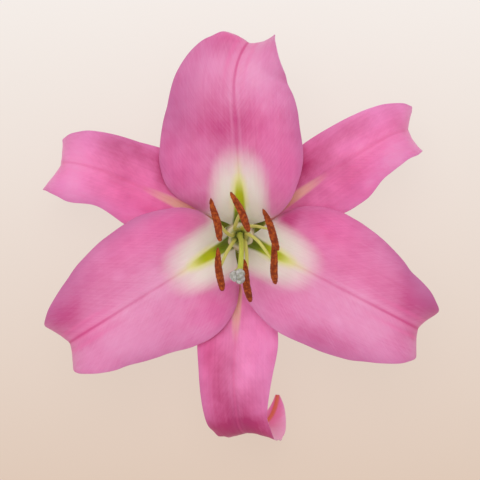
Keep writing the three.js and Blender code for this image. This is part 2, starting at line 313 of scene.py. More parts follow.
# %% Growth of each tepal
TEPALS = {
    "petal_top": {
        "kind": PETAL, "azimuth": 90, "stretch": .97,
        "swing": [(0, 0), (.3, 3), (.54, 4), (.66, -10), (.76, -28), (.88, -34)],
        "lean": [(0, -8), (.5, -4), (1, 0)],
        "clockwise": {
            "width": .91,
            "half": [(0, 0), (.3, .4), (.48, -1.2), (.6, -1.4), (.7, .2), (.78, .4), (.88, 3), (1, 0)],
            "cup": [(0, 0), (.62, 0), (.76, 6), (1, 4)],
            "flare": [(0, 0), (.64, 0), (.77, 44), (1, 0)],
        },
        "anticlockwise": {
            "width": 1.03,
            "half": [(0, 0), (.14, 0), (.26, 3.4), (.42, 1.8), (.56, -1.4), (.68, -2), (.78, -.8),
                     (1, 0)],
            "cup": [(0, 0), (.64, 0), (.78, -12), (1, -12)],
            "flare": [(0, 0), (.66, 0), (.78, -52), (1, -30)],
        },
    },
    "petal_left": {
        "kind": PETAL, "azimuth": 212, "stretch": .993, "lean": [(0, -8), (.5, -3), (1, 0)],
        "clockwise": {"half": [(0, 0), (.4, -.6), (.55, -1.6), (.7, -1), (.8, 0)]},
        "anticlockwise": {"half": [(0, 0), (.28, 1), (.4, -.8), (.52, -4.6), (.62, -4.8), (.7, -2.2),
                                   (.78, 0)]},
    },
    "petal_right": {
        "kind": PETAL, "azimuth": -27.5, "stretch": .99, "lean": [(0, -8), (.5, -3), (1, 0)],
        "clockwise": {"width": .98, "half": [(0, 0), (.36, -1.4), (.5, -2.4), (.64, -1.4), (.76, 0)]},
        "anticlockwise": {"width": .97, "half": [(0, 0), (.4, -.4), (.54, -2.6), (.66, -3.6),
                                                 (.76, -.8), (1, 0)]},
    },
    "sepal_right": {
        "kind": SEPAL, "azimuth": 36, "stretch": .985,
        "rise": [(0, 0), (.1, -.7)],
        "swing": [(0, 0), (.4, -2), (.6, -8), (.7, -22), (1, -26)],
        "clockwise": {
            "width": .96,
            "half": [(0, 0), (.3, 1), (.44, 1.6), (.54, -1.4), (.62, -1.2), (.7, 0)],
            "cup": [(0, 0), (.6, 0), (.7, -10), (1, -6)],
        },
        "anticlockwise": {"width": .93, "cup": [(0, 0), (.6, 0), (.7, 8), (1, 5)]},
    },
    "sepal_left": {
        "kind": SEPAL, "azimuth": 152, "stretch": .955,
        "rise": [(0, 0), (.1, -1.6)],
        "swing": [(0, 0), (.4, 4), (.65, 10), (.8, 16)],
        "drift": [(0, 0), (.5, 0), (.7, 10), (1, 14)],
        "clockwise": {
            "half": [(0, 0), (.2, 0), (.32, 1.8), (.46, 0)],
            "cup": [(0, 0), (.6, 0), (.7, -12), (1, -6)],
            "flare": [(0, 0), (.6, 0), (.7, -24), (1, -6)],
        },
        "anticlockwise": {
            "half": [(0, 0), (.36, 0), (.5, -2.2), (.64, 2.8), (.76, 3), (1, 0)],
            "cup": [(0, 0), (.6, 0), (.7, 6), (1, 4)],
        },
    },
    "sepal_bottom": {
        "kind": SEPAL, "azimuth": -91, "stretch": 1.028,
        "rise": [(0, 0), (.15, -2.2), (.5, -4.4), (.6, -10), (.69, -22), (.78, 8), (.85, 17),
                 (.91, -4), (1, -40)],
        "swing": [(0, -2), (.4, -2), (.52, 5), (.66, 10)],
        "drift": [(0, 0), (.57, 0), (.67, 15), (.8, 19), (.9, 33), (1, 14)],
        "clockwise": {
            "width": .93,
            "half": [(0, 0), (.34, -.2), (.46, -1.4), (.58, -1), (.7, 0)],
            "cup": [(0, 0), (.56, 0), (.66, -10), (1, -8)],
            "flare": [(0, 0), (.56, 0), (.66, -34), (1, -20)],
        },
        "anticlockwise": {
            "width": .95,
            "half": [(0, 0), (.3, 2.4), (.46, .2), (.6, -1.8), (.7, 2), (.88, 4.5), (.96, 2.5), (1, 0)],
            "cup": [(0, 0), (.56, 0), (.66, -4), (1, -6)],
            "flare": [(0, 0), (.6, 0), (.7, 16), (.8, 16), (.9, 0)],
        },
    },
}
print("tepals:", ", ".join(TEPALS))

# %% [markdown]
# ## Following the midrib
# At every share of the length three directions are needed: along the midrib, across the blade, and
# out of its inner face. They turn together, so the blade rolls and slews without tearing.

# %% The midrib and its directions


def directions(own, x):
    """Along the midrib, across to the anticlockwise side, and out of the inner face, at shares x."""
    rise = np.radians(value_at(own["kind"]["rise"], x) + value_at(own.get("rise"), x))
    side = np.radians(own["azimuth"] + value_at(own.get("swing"), x))
    level = np.stack([np.cos(side), np.sin(side), 0 * side], -1)
    flat = np.stack([-np.sin(side), np.cos(side), 0 * side], -1)
    up = np.array([0, 0, 1.0])
    along = np.cos(rise)[:, None] * level + np.sin(rise)[:, None] * up
    out = np.cross(along, flat)
    lean = np.radians(value_at(own.get("lean"), x))[:, None]
    across = flat * np.cos(lean) + out * np.sin(lean)
    out = out * np.cos(lean) - flat * np.sin(lean)
    drift = np.radians(value_at(own.get("drift"), x))[:, None]
    return (
        along * np.cos(drift) + across * np.sin(drift),
        across * np.cos(drift) - along * np.sin(drift),
        out,
    )


ROWS = 160
STEPS_A_ROW = 3


def midrib(own):
    """The midrib's points, one for each row of the blade."""
    kind = own["kind"]
    steps = ROWS * STEPS_A_ROW
    step = kind["length"] * own.get("stretch", 1) / steps
    start = np.radians(own["azimuth"])
    foot = [kind["start_radius"] * np.cos(start), kind["start_radius"] * np.sin(start),
            kind["start_height"]]
    along = directions(own, (np.arange(steps) + .5) / steps)[0]
    walked = np.vstack([np.zeros(3), np.cumsum(along * step, 0)])
    return (foot + walked)[::STEPS_A_ROW]


# %% [markdown]
# ## The blade
# The blade could be a flat sheet pushed about by modifiers, but then its outline and its folds would
# fight each other. Growing it row by row keeps both: each row is two halves that leave the midrib and
# bend towards the margin. Columns are set close together at the midrib and at the margin, where
# the real relief is finest.

# %% One blade as rows of points
COLUMNS = 34
CROWDING = .11
even = np.linspace(0, 1, COLUMNS + 1)
RIM = even - CROWDING * np.sin(TURN * even)
CREASE = .14
RIPPLE = 1.1
RIPPLES = 3.4
RIPPLE_SHIFT = .11
FRILL = .22
FRILLS = 15


def half_blade(own, x, sign, change):
    """Reach from the midrib, lift above it and millimetres across, for one half of the blade."""
    kind = own["kind"]
    width = value_at(kind["half"], x) * change.get("width", 1) + value_at(change.get("half"), x)
    cup = value_at(kind["cup"], x) + value_at(change.get("cup"), x)
    flare = value_at(kind["flare"], x) + value_at(change.get("flare"), x)
    middle = (RIM[1:] + RIM[:-1]) / 2
    rounded = 1 - np.exp(-(middle / CREASE) ** 2)
    slope = np.radians(cup[:, None] * (1 - middle) * rounded + flare[:, None] * middle)
    step = np.diff(RIM) * width[:, None]
    ends = np.minimum(1, np.minimum(3 * x, 4 * (1 - x)))
    wave = RIPPLE * np.sin(TURN * RIPPLES * (x + RIPPLE_SHIFT * sign)) * ends
    frill = FRILL * np.sin(TURN * (FRILLS + sign) * x + 2.4 * np.sin(9 * x + sign)) * ends
    lift = np.cumsum(np.sin(slope) * step, 1)
    lift += wave[:, None] * RIM[1:] ** 2.5 + frill[:, None] * RIM[1:] ** 7
    return np.cumsum(np.cos(slope) * step, 1), lift, RIM[1:] * width[:, None]


def blade(own):
    """The inner face as rows of points, with millimetres across and share of the way to the rim."""
    x = np.linspace(0, 1, ROWS + 1)
    middle = midrib(own)
    _, across, out = directions(own, x)
    halves = []
    for sign, side in ((-1, "clockwise"), (1, "anticlockwise")):
        reach, lift, arc = half_blade(own, x, sign, own.get(side, {}))
        points = middle[:, None] + sign * reach[..., None] * across[:, None]
        halves.append((points + lift[..., None] * out[:, None], sign * arc))
    (left, left_arc), (right, right_arc) = halves
    points = np.concatenate([left[:, ::-1], middle[:, None], right], 1)
    arc = np.concatenate([left_arc[:, ::-1], np.zeros((ROWS + 1, 1)), right_arc], 1)
    rim = np.concatenate([-RIM[:0:-1], RIM])
    return x, points, arc, rim


# %% [markdown]
# ## Relief and thickness
# The inner face of a real petal has a narrow furrow along the midrib between two soft ridges, and
# near the throat that furrow is the nectar channel. Main veins run out in a fan on each side. On the
# back the midrib stands proud as a keel. These are modelled, since they catch the light at the edge of
# the flower; only the finest veinlets are left to the material.

# %% Relief of a blade


def hump(value, width):
    """A soft hump, one high at zero."""
    return np.exp(-(value / width) ** 2)


FURROW, CHANNEL = .11, .5
RIDGE, LIP = .16, .3
VEIN, VEINS = .07, 5.5
QUILT, FINE_QUILT = .16, .1
KEEL = .55


def relief(own, x, arc, rim):
    """How far the inner face stands above the plain blade, and the back below it, in millimetres."""
    along = x[:, None]
    present = np.clip(along / .06, 0, 1) * (1 - .75 * along ** 3)
    throat = hump(along, .2)
    off = np.abs(arc)
    furrow = -FURROW * hump(arc, .8) * present - CHANNEL * hump(arc, 1.5) * throat
    ridges = RIDGE * hump(off - 2.0, 1.1) * present + LIP * hump(off - 2.8, .9) * throat
    veins = -VEIN * np.clip(np.sin(TURN * VEINS * np.abs(rim)), 0, 1) ** 3 * present
    seed = own["azimuth"]
    quilt = QUILT * np.sin(arc * .55 + 9 * along + seed) * np.sin(along * 31 + arc * .12 + seed)
    quilt = quilt + FINE_QUILT * np.sin(arc * .9 - 21 * along + 2 * seed) * np.sin(
        along * 47 - arc * .3)
    inner = furrow + ridges + (veins + quilt) * (1 - np.abs(rim) ** 6) * present
    return inner, KEEL * hump(arc, 1.3) * present


THICK = 1.15
RIM_THICK = .42


def skins(own):
    """The inner and outer faces of a tepal, and what the painter needs to know about each point."""
    x, points, arc, rim = blade(own)
    down = np.gradient(points, axis=0)
    over = np.gradient(points, axis=1)
    normal = np.cross(down, over)
    normal /= np.linalg.norm(normal, axis=2, keepdims=True)
    inner, keel = relief(own, x, arc, rim)
    body = RIM_THICK + (THICK - RIM_THICK) * (1 - np.abs(rim)) ** 1.2
    front = points + normal * inner[..., None]
    back = points - normal * (body + keel)[..., None]
    return x, arc, rim, front, back


# %% [markdown]
# ## Colour, shade and light painted by place
# The pigment of a lily is not even: it pools in deep and saturated patches. Light and shade are painted
# the same way: the dark patches are partly deeper pigment and mostly painted shade in folds and under
# the curled tips, a negative dark amount is painted light where a surface faces the lamp, and the mauve
# patches and the mauve rim are painted shade on margins that turn away. Each tepal has a short list of
# soft patches, placed by share of its length and by share of the way to the margin, negative on the
# clockwise side. They are stored on the mesh and the material reads them.

# %% Soft patches of pigment, painted shade and painted light: (share, rim, reach along, reach across, amount)
ROSE = {
    "petal_top": [(.3, -.85, .12, .35, .9), (.3, .8, .14, .4, .8), (.45, -.35, .1, .4, .5),
                  (.79, .6, .04, .5, .8)],
    "petal_left": [(.26, .75, .12, .35, .9), (.24, -.8, .1, .3, .8), (.4, -.75, .14, .35, .6),
                   (.7, .0, .12, .22, .5)],
    "petal_right": [(.34, .75, .12, .35, .9), (.5, .3, .14, .3, .35), (.3, -.7, .1, .25, .3),
                    (.12, .8, .08, .4, .6)],
    "sepal_right": [(.45, -.5, .14, .9, .7), (.62, .1, .1, .5, .3)],
    "sepal_left": [(.45, .2, .14, .9, .7), (.3, .4, .1, .6, .4)],
    "sepal_bottom": [(.4, -.8, .1, .4, .8), (.33, .7, .1, .4, .3)],
}
# Dark patches: partly deeper pigment, mostly painted shade in folds and under the curled tips; a
# negative amount is painted light where a surface faces the lamp.
DEEP_SHADE_AND_LIGHT = {
    "petal_top": [(.48, -.1, .1, .32, .65), (.48, .35, .1, .3, .6), (.62, -.3, .1, .3, -.3),
                  (.72, -.2, .08, .4, -.3), (.38, .85, .16, .25, .4), (.6, .8, .1, .3, .25),
                  (.45, -.85, .1, .3, .35), (.76, .55, .05, .35, .5)],
    "petal_left": [(.74, -.65, .09, .5, .7), (.64, -.55, .1, .3, .35), (.58, .3, .1, .4, -.3),
                   (.42, .0, .06, .25, -.5), (.5, -.8, .16, .35, .25)],
    "petal_right": [(.72, .6, .1, .45, .9), (.78, -.2, .06, .3, .5), (.5, -.85, .12, .2, .6),
                    (.17, .75, .07, .3, .8), (.55, -.25, .14, .35, -.35), (.76, 1, .08, .3, .6),
                    (.52, .6, .2, .5, .25), (.3, .9, .1, .25, .35)],
    "sepal_right": [(.33, .5, .08, .6, .8), (.24, -.6, .08, .5, .5), (.5, .75, .14, .3, .5),
                    (.55, -.6, .14, .3, -.2), (.43, -.3, .08, .5, .35)],
    "sepal_left": [(.33, -.7, .07, .5, 1.0), (.5, -.8, .1, .3, .7), (.62, .1, .07, .5, -.2),
                   (.5, -.1, .08, .6, .35)],
    "sepal_bottom": [(.7, -.1, .17, 1.6, 1.3), (.42, .3, .1, .3, -.2), (.4, -.4, .16, .6, .5)],
}
# Mauve patches are painted shade on margins and corners that turn away from the lamp.
MAUVE_SHADE = {
    "petal_top": [(.55, .85, .16, .35, .6), (.45, -1, .2, .2, .5)],
    "petal_left": [(.4, -1, .2, .2, .5), (.6, .95, .14, .2, .3), (.7, -.9, .12, .4, .6)],
    "petal_right": [(.5, -.95, .14, .25, .5), (.62, 1, .14, .25, .5), (.74, .85, .09, .45, .7),
                    (.71, -.95, .1, .25, .35)],
    "sepal_right": [(.5, -.8, .16, .4, .25)],
    "sepal_left": [(.55, -.85, .12, .3, .3), (.58, .95, .14, .3, .45)],
    "sepal_bottom": [(.5, .8, .1, .3, .2), (.5, -1, .14, .25, .3)],
}


def patches(listed, x, rim):
    """The sum of a tepal's soft patches at every point."""
    total = np.zeros((len(x), len(rim)))
    for share, place, reach, spread, amount in listed:
        total += amount * hump(x - share, reach)[:, None] * hump(rim - place, spread)
    return total


# %% [markdown]
# ## One closed skin
# A tepal is a single piece of flesh, so it is one closed mesh: each row is a ring that runs over the
# inner face and back under the outer one, and a ladder of faces closes the base and the tip.

# %% Mesh pieces


def make_piece(name, node, points, faces, material):
    """A smooth mesh that stands for a CAD node."""
    mesh = bpy.data.meshes.new(name)
    mesh.from_pydata(placed(points).tolist(), [], faces)
    mesh.shade_smooth()
    mesh.materials.append(material)
    piece = bpy.data.objects.new(name, mesh)
    bpy.context.collection.objects.link(piece)
    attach(piece, "root")
    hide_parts(node)
    return piece


def store(piece, name, vectors):
    """Keeps three numbers at each vertex for the material to read."""
    stored = piece.data.attributes.new(name, "FLOAT_VECTOR", "POINT")
    stored.data.foreach_set("vector", np.asarray(vectors, np.float32).ravel())


def lay_map(piece, places):
    """Lays the mesh out flat: one place for each corner of each face."""
    layer = piece.data.uv_layers.new(name="Grown")
    layer.data.foreach_set("uv", np.asarray(places, np.float32).ravel())


def tepal_mesh(name, node, own, material):
    """Closes the two skins of a tepal into one piece and stores its growth and its paint."""
    x, arc, rim, front, back = skins(own)
    wide = len(rim)
    ring = 2 * wide
    points = np.concatenate([front, back[:, ::-1]], 1)
    faces, corners = [], []
    for i in range(ROWS):
        for j in range(ring):
            k = (j + 1) % ring
            faces.append((i * ring + j, (i + 1) * ring + j, (i + 1) * ring + k, i * ring + k))
            sides = ((j, i), (j, i + 1), (j + 1, i + 1), (j + 1, i))
            corners += [(a / ring, .02 + .96 * b / ROWS) for a, b in sides]
    for row, turned in ((0, False), (ROWS, True)):
        for j in range(wide - 1):
            face = [row * ring + k for k in (j, j + 1, ring - 2 - j, ring - 1 - j)]
            edge = [(a / ring, .5 + (.48 + .01 * b) * (1 if turned else -1))
                    for a, b in ((j, 0), (j + 1, 0), (j + 1, 1), (j, 1))]
            faces.append(tuple(face[::-1] if turned else face))
            corners += edge[::-1] if turned else edge
    piece = make_piece(name, node, points.reshape(-1, 3), faces, material)
    length = own["kind"]["length"] * own.get("stretch", 1)
    along = np.broadcast_to((x * length)[:, None], arc.shape)
    side = np.broadcast_to(rim, arc.shape)
    growth = np.stack([along, arc, side], -1)
    store(piece, "growth", np.concatenate([growth, growth[:, ::-1]], 1).reshape(-1, 3))
    paint = np.stack([patches(layer[node], x, rim) for layer in (ROSE, DEEP_SHADE_AND_LIGHT, MAUVE_SHADE)], -1)
    store(piece, "paint", np.concatenate([paint, paint[:, ::-1]], 1).reshape(-1, 3))
    skin_side = np.repeat([[0.0] * wide + [1.0] * wide], ROWS + 1, 0)
    store(piece, "back", np.stack([skin_side] * 3, -1).reshape(-1, 3))
    lay_map(piece, corners)
    return piece


# %% [markdown]
# ## Tepal pigment and painted shade, shared by petals and sepals
# The colour follows growth, not the table it lies on, so the pattern is worked out in millimetres
# along the midrib and across from it. From the bottom up it is: an even field with faint streaks,
# deep and pale patches that are partly painted shade and painted light, a mauve rim of painted shade,
# painted highlights on the midrib's ridges and painted fold shade beside them near the tip, the white
# throat, the green nectar channel, and a thin line of pigment on the midrib. One group holds it all,
# and each material gives it its own values.

# %% Group: tepal pigment and painted shade
SLANT = 1.5
PIGMENT_AND_SHADE = {
    "Pale": colour(230, 164, 200), "Field": colour(217, 133, 177), "Rose Colour": colour(226, 104, 164),
    "Deep": colour(192, 66, 128), "Mauve Colour": colour(172, 94, 142),
    "Throat": colour(238, 230, 222), "Throat Length": 45.0, "Throat Width": 14.0,
    "Claw": colour(250, 222, 218), "Claw Length": 14.0,
    "Nectar": colour(184, 196, 8), "Nectar Deep": colour(116, 136, 14), "Glow": colour(226, 230, 104),
    "Nectar Length": 35.0, "Nectar Width": 3.9,
    "Line": colour(200, 62, 128), "Tip Start": 74.0,
    "Streaks": .4, "Feathering": .55, "Ridge Highlights": .24,
}
pigment_and_shade, give, take = new_group("Tepal pigment", {
    "Along": 0.0, "Across": 0.0, "Rose": 0.0, "Dark": 0.0, "Mauve": 0.0, **PIGMENT_AND_SHADE,
}, {"Colour": "Color"})
tree = pigment_and_shade
along, across = give["Along"], give["Across"]
off = calc(tree, "ABSOLUTE", across)

# Streaks run lengthwise, feathering slants out from the midrib, and pools are broad and cloudy.
streak = cloud(tree, join(tree, times(tree, along, .045), across), .9, 3)
slanted = minus(tree, along, times(tree, off, SLANT))
feather = cloud(tree, join(tree, times(tree, slanted, .8), times(tree, across, .12)), 1, 3)
pool = cloud(tree, join(tree, along, across), .085, 4)
# The dark patches are painted shade where positive and painted light where negative; with the noise they
# make one tone, which leans to Deep above zero and to Pale below it.
tone = plus(tree, give["Dark"], minus(tree, pool, .5),
            times(tree, minus(tree, streak, .5), give["Streaks"]),
            times(tree, minus(tree, feather, .5), give["Feathering"]))
skin = blend(tree, give["Rose"], give["Field"], give["Rose Colour"])
skin = blend(tree, times(tree, tone, -1), skin, give["Pale"])
skin = blend(tree, tone, skin, give["Deep"])
skin = blend(tree, give["Mauve"], skin, give["Mauve Colour"])


def line_beside(middle, sharpness):
    """A soft line on each side of the midrib, its middle that many millimetres away."""
    apart = calc(tree, "ABSOLUTE", minus(tree, off, middle))
    return calc(tree, "MAXIMUM", minus(tree, 1, times(tree, apart, sharpness)), 0)


# Beside the midrib run two pale lines, painted highlights on its two ridges, and towards the tip two
# deeper ones outside them, painted shade in the folds there.
tip = fade(tree, along, give["Tip Start"], plus(tree, give["Tip Start"], 22))
skin = blend(tree, times(tree, line_beside(1.8, .9), give["Ridge Highlights"]), skin, give["Pale"])
fold_shade_line = times(tree, line_beside(4.6, .6), tip)
skin = blend(tree, times(tree, fold_shade_line, .4), skin, give["Rose Colour"])

# The throat: a rounded arch of cream with a soft uneven edge, and a claw that is cream throughout.
reach = calc(tree, "POWER", calc(tree, "DIVIDE", along, give["Throat Length"]), 3.2)
broad = calc(tree, "POWER", calc(tree, "DIVIDE", off, give["Throat Width"]), 3)
white = fade(tree, plus(tree, reach, broad, times(tree, streak, .3)), 2.2, .25)
claw = fade(tree, along, times(tree, give["Claw Length"], 1.5), times(tree, give["Claw Length"], .5))
skin = blend(tree, claw, skin, give["Claw"])
skin = blend(tree, white, skin, give["Throat"])

# The midrib's own line of pigment starts where the throat ends, and a flush lies along it.
flush = times(tree, fade(tree, off, 5.5, .5), tip)
skin = blend(tree, times(tree, flush, .25), skin, give["Rose Colour"])
line = times(tree, fade(tree, off, .9, .2), minus(tree, 1, white))
line = times(tree, line, plus(tree, .3, times(tree, tip, .35)))
skin = blend(tree, line, skin, give["Line"])

# The nectar channel: a green spear, and a yellow glow round its point.
spear = calc(tree, "DIVIDE", along, give["Nectar Length"])
point = calc(tree, "SQRT", calc(tree, "MAXIMUM", minus(tree, 1.12, spear), 0))
past = minus(tree, off, times(tree, give["Nectar Width"], point))
near_point = times(tree, fade(tree, spear, 1.5, .8), fade(tree, spear, .3, .7))
glow = times(tree, fade(tree, past, 3.4, -1.2), near_point)
skin = blend(tree, times(tree, glow, .8), skin, give["Glow"])
green = times(tree, fade(tree, past, .5, -1.1), fade(tree, spear, 1.08, .7))
nectar = blend(tree, fade(tree, along, 20, 6), give["Nectar"], give["Nectar Deep"])
skin = blend(tree, green, skin, nectar)
plug(tree, take["Colour"], skin)
print("pigment group:", len(tree.nodes), "nodes")

# %% [markdown]
# ## Veinlets, shared by petals and sepals
# Between the main veins a petal is finely ribbed, and under a lens its skin is a mosaic of tiny
# domed cells, which gives lilies their velvet look. Both are far too fine for the mesh, so they are a
# height that feeds a bump.

# %% Group: veinlets
veinlets, give, take = new_group("Veinlets", {"Along": 0.0, "Across": 0.0},
                                 {"Height": "Float", "Mask": "Float"})
tree = veinlets
off = calc(tree, "ABSOLUTE", give["Across"])
slanted = minus(tree, give["Along"], times(tree, off, SLANT))
ribs = cloud(tree, join(tree, times(tree, slanted, .9), times(tree, give["Across"], .1)), 1, 2)
long = cloud(tree, join(tree, times(tree, give["Along"], .05), give["Across"], 7.0), 1.4, 2)
domes = cloud(tree, join(tree, give["Along"], give["Across"], 3.0), 3.5, 2)
height = plus(tree, times(tree, ribs, .5), times(tree, long, .6), times(tree, domes, .18))
plug(tree, take["Height"], height)
plug(tree, take["Mask"], ribs)

# %% [markdown]
# ## Petal and sepal skin
# A petal is thin wet tissue: light enters it, spreads a little and comes out again pinker. A touch of
# subsurface scattering does that, and a soft sheen stands for the velvet of its cells. The back
# is plainer, pale towards its margins and flushed along a warm rib.

# %% Tepal materials


def tepal_material(name, changes, back, rib):
    """Pigment with painted shade and light on the face, a plainer back, and veinlets over both."""
    material, tree, shader = new_material(name, {
        "Subsurface Weight": .4, "Subsurface Radius": (1.0, .6, .75), "Subsurface Scale": .003,
        "Sheen Weight": .08, "Sheen Roughness": .4, "Specular IOR Level": .35,
    })
    along, across, rim = painted(tree, "growth")
    rose, dark, mauve = painted(tree, "paint")
    behind = painted(tree, "back")[0]
    off, edge = calc(tree, "ABSOLUTE", across), calc(tree, "ABSOLUTE", rim)
    place = {"Along": along, "Across": across}
    # The mauve rim along the outer margin is painted shade, where the blade turns away from the lamp.
    paint = {"Rose": rose, "Dark": dark, "Mauve": plus(tree, mauve, fade(tree, edge, .85, 1, 0, .2))}
    face = use_group(tree, pigment_and_shade, {**place, **paint, **changes})["Colour"]
    veins = use_group(tree, veinlets, place)
    own = {**PIGMENT_AND_SHADE, **changes}
    faded = plus(tree, fade(tree, veins["Mask"], .25, .75, 0, .35), fade(tree, edge, .3, 1, 0, .5))
    under = blend(tree, faded, back, own["Pale"])
    under = blend(tree, fade(tree, off, 7, 1, 0, .6), under, own["Rose Colour"])
    under = blend(tree, fade(tree, off, 1.5, .4), under, rib)
    under = blend(tree, fade(tree, along, 30, 4, 0, .7), under, colour(150, 165, 80))
    plug(tree, shader["Base Color"], blend(tree, behind, face, under))
    plug(tree, shader["Roughness"], fade(tree, veins["Mask"], .2, .8, .5, .62))
    plug(tree, shader["Normal"], bump(tree, veins["Height"], .2))
    return material


petal_skin = tepal_material("petal_skin", {}, colour(214, 140, 178), colour(205, 110, 130))
sepal_skin = tepal_material("sepal_skin", {
    "Pale": colour(240, 168, 206), "Field": colour(232, 136, 188), "Rose Colour": colour(230, 98, 162),
    "Deep": colour(170, 44, 104), "Throat": colour(228, 180, 158), "Throat Length": 47.0,
    "Throat Width": 2.4, "Claw": colour(222, 206, 170), "Claw Length": 15.0, "Nectar Length": 12.5,
    "Nectar Width": 5.0, "Nectar": colour(122, 132, 20), "Line": colour(212, 90, 144),
    "Tip Start": 200.0, "Streaks": .28, "Feathering": .2, "Ridge Highlights": .04,
}, colour(222, 142, 178), colour(216, 112, 88))

# %% Grow the tepals
for node, own in TEPALS.items():
    kind, skin = ("petal", petal_skin) if own["kind"] is PETAL else ("sepal", sepal_skin)
    piece = tepal_mesh("grown_" + node, node, own, skin)
    print(piece.name, len(piece.data.polygons), "faces")

# %% [markdown]
# ## Swept pieces
# Filaments, anthers and the pistil are all rods that follow a curve, so one helper makes them. It
# walks the curve in equal steps and carries a pair of side directions along without twisting, as a
# gardener's hose would be carried round a bend.

# %% Curves and sweeps


STEPS_A_SPAN = 60


def smooth_path(points, count):
    """Evenly spaced points on a smooth curve through the given ones."""
    given = np.array(points, float)
    given = np.vstack([2 * given[0] - given[1], given, 2 * given[-1] - given[-2]])
    t = np.linspace(0, 1, STEPS_A_SPAN, endpoint=False)[:, None]
    parts = []
    for a, b, c, d in zip(given, given[1:], given[2:], given[3:]):
        parts.append(.5 * (2 * b + (c - a) * t + (2 * a - 5 * b + 4 * c - d) * t ** 2
                           + (3 * b - a - 3 * c + d) * t ** 3))
    dense = np.vstack([*parts, given[-2:-1]])
    walked = np.concatenate([[0], np.cumsum(np.linalg.norm(np.diff(dense, axis=0), axis=1))])
    stops = np.linspace(0, walked[-1], count)
    return np.stack([np.interp(stops, walked, dense[:, k]) for k in range(3)], -1)


def side_directions(path, first):
    """Two directions across the path at each point, carried along it without twist."""
    ahead = np.gradient(path, axis=0)
    ahead /= np.linalg.norm(ahead, axis=1, keepdims=True)
    sides = []
    side = np.array(first, float)
    for way in ahead:
        side = side - way * side.dot(way)
        side /= np.linalg.norm(side)
        sides.append(side)
    sides = np.array(sides)
    return sides, np.cross(ahead, sides), ahead


def rod_faces(rings, sides):
    """A ladder of faces from ring to ring, and a fan from each end ring to one of two extra points."""
    faces = []
    for i in range(rings - 1):
        for j in range(sides):
            k = (j + 1) % sides
            faces.append((i * sides + j, i * sides + k, (i + 1) * sides + k, (i + 1) * sides + j))
    start, end = rings * sides, rings * sides + 1
    last = (rings - 1) * sides
    for j in range(sides):
        k = (j + 1) % sides
        faces += [(start, k, j), (end, last + j, last + k)]
    return faces


def sweep(path, first, offsets):
    """A closed rod. offsets(share, turn) gives, as arrays, how far the skin is out along the two side
    directions and forward along the path."""
    share, turn = np.linspace(0, 1, len(path)), np.arange(offsets.sides) / offsets.sides * TURN
    one, two, ahead = side_directions(path, first)
    a, b, c = offsets(*np.meshgrid(share, turn, indexing="ij"))
    points = (path[:, None] + a[..., None] * one[:, None] + b[..., None] * two[:, None]
              + c[..., None] * ahead[:, None])
    flat = np.vstack([points.reshape(-1, 3), points[0].mean(0), points[-1].mean(0)])
    growth = np.stack([*np.meshgrid(share, turn / TURN, indexing="ij"), np.zeros(a.shape)], -1)
    growth = np.vstack([growth.reshape(-1, 3), [(0, 0, 0), (1, 0, 0)]])
    return flat, rod_faces(*a.shape), growth


# %% [markdown]
# ## Stamens
# Each stamen is a slender filament with an anther balanced across its tip on a joint so fine that it
# swings in the wind. The filament leaves the knob upright, then leans out, so from above its foot looks
# like a small hook.

# %% Where each stamen stands
STAMENS = [
    {"side": 151, "bends": [(-3.9, .2, 42), (-6.7, 1.9, 55)], "tip": (-11.1, 7.4, 67),
     "heading": -78, "tilt": 5},
    {"side": 91, "bends": [(-2.5, 3.6, 42), (-1.4, 7.2, 56)], "tip": (.2, 11.3, 68),
     "heading": -65, "tilt": -6},
    {"side": 33, "bends": [(1.4, 4.1, 42), (7, 4.6, 57)], "tip": (14.2, 2.9, 70.5),
     "heading": -69.6, "tilt": 1},
    {"side": -28, "bends": [(3.4, .9, 44), (8.8, -2.8, 57)], "tip": (15.8, -12.6, 64.5),
     "heading": -86, "tilt": 13},
    {"side": -90, "bends": [(2.3, -2.6, 42), (3.2, -10, 56)], "tip": (3.1, -20.9, 64.6),
     "heading": -81, "tilt": 11},
    {"side": 212, "bends": [(-2.9, -2.4, 42), (-6.6, -8.4, 56)], "tip": (-9.5, -15.6, 67),
     "heading": -84, "tilt": 10},
]
FILAMENT_RING = 3.2
ANTHER_LENGTH = 20.6
ANTHER_WIDTH = 2.75
ANTHER_DEPTH = 2.4
ANTHER_WAVE = .35
ANTHER_BOW = 3
COARSE_GRAINS, FINE_GRAINS = .16, .12
APART = 40
GAP = .5


def sided(sides):
    """Marks a skin function with the number of sides that it is swept with."""
    def mark(function):
        function.sides = sides
        return function
    return mark


@sided(20)
def filament_skin_at(share, turn):
    """Round and tapering, a little flattened, thinning to a thread under the anther."""
    radius = value_at([(0, 1.2), (.05, 1.05), (.5, .88), (.85, .72), (.96, .46), (1, .34)], share)
    return radius * np.cos(turn) * 1.08, radius * np.sin(turn) * .94, 0 * share


@sided(72)
def anther_skin_at(share, turn):
    """Two pairs of pollen sacs with a seam between them, pointed at one end and blunter at the other."""
    swell = value_at([(0, .08), (.015, .22), (.06, .46), (.18, .78), (.4, 1.04), (.64, 1.12),
                      (.82, 1.02), (.92, .8), (.97, .58), (.992, .34), (1, .12)], share)
    seam = .2 * hump(np.angle(np.exp(1j * (turn + TURN / 4))), .22)
    back = .24 * hump(np.angle(np.exp(1j * (turn - TURN / 4))), .3)
    sacs = 1 + .1 * np.cos(2 * turn) + .05 * np.cos(4 * turn + 1) - seam - back
    return (swell * sacs * ANTHER_WIDTH / 2 * np.cos(turn),
            swell * sacs * ANTHER_DEPTH / 2 * np.sin(turn), 0 * share)


# %% [markdown]
# The ripe anther has burst: its sacs are turned inside out and thick with pollen. The grains
# clump, so its outline is crumbly. The mesh itself is roughened with noise, since a bump alone would
# leave a smooth edge.

# %% Roughen a surface with grains


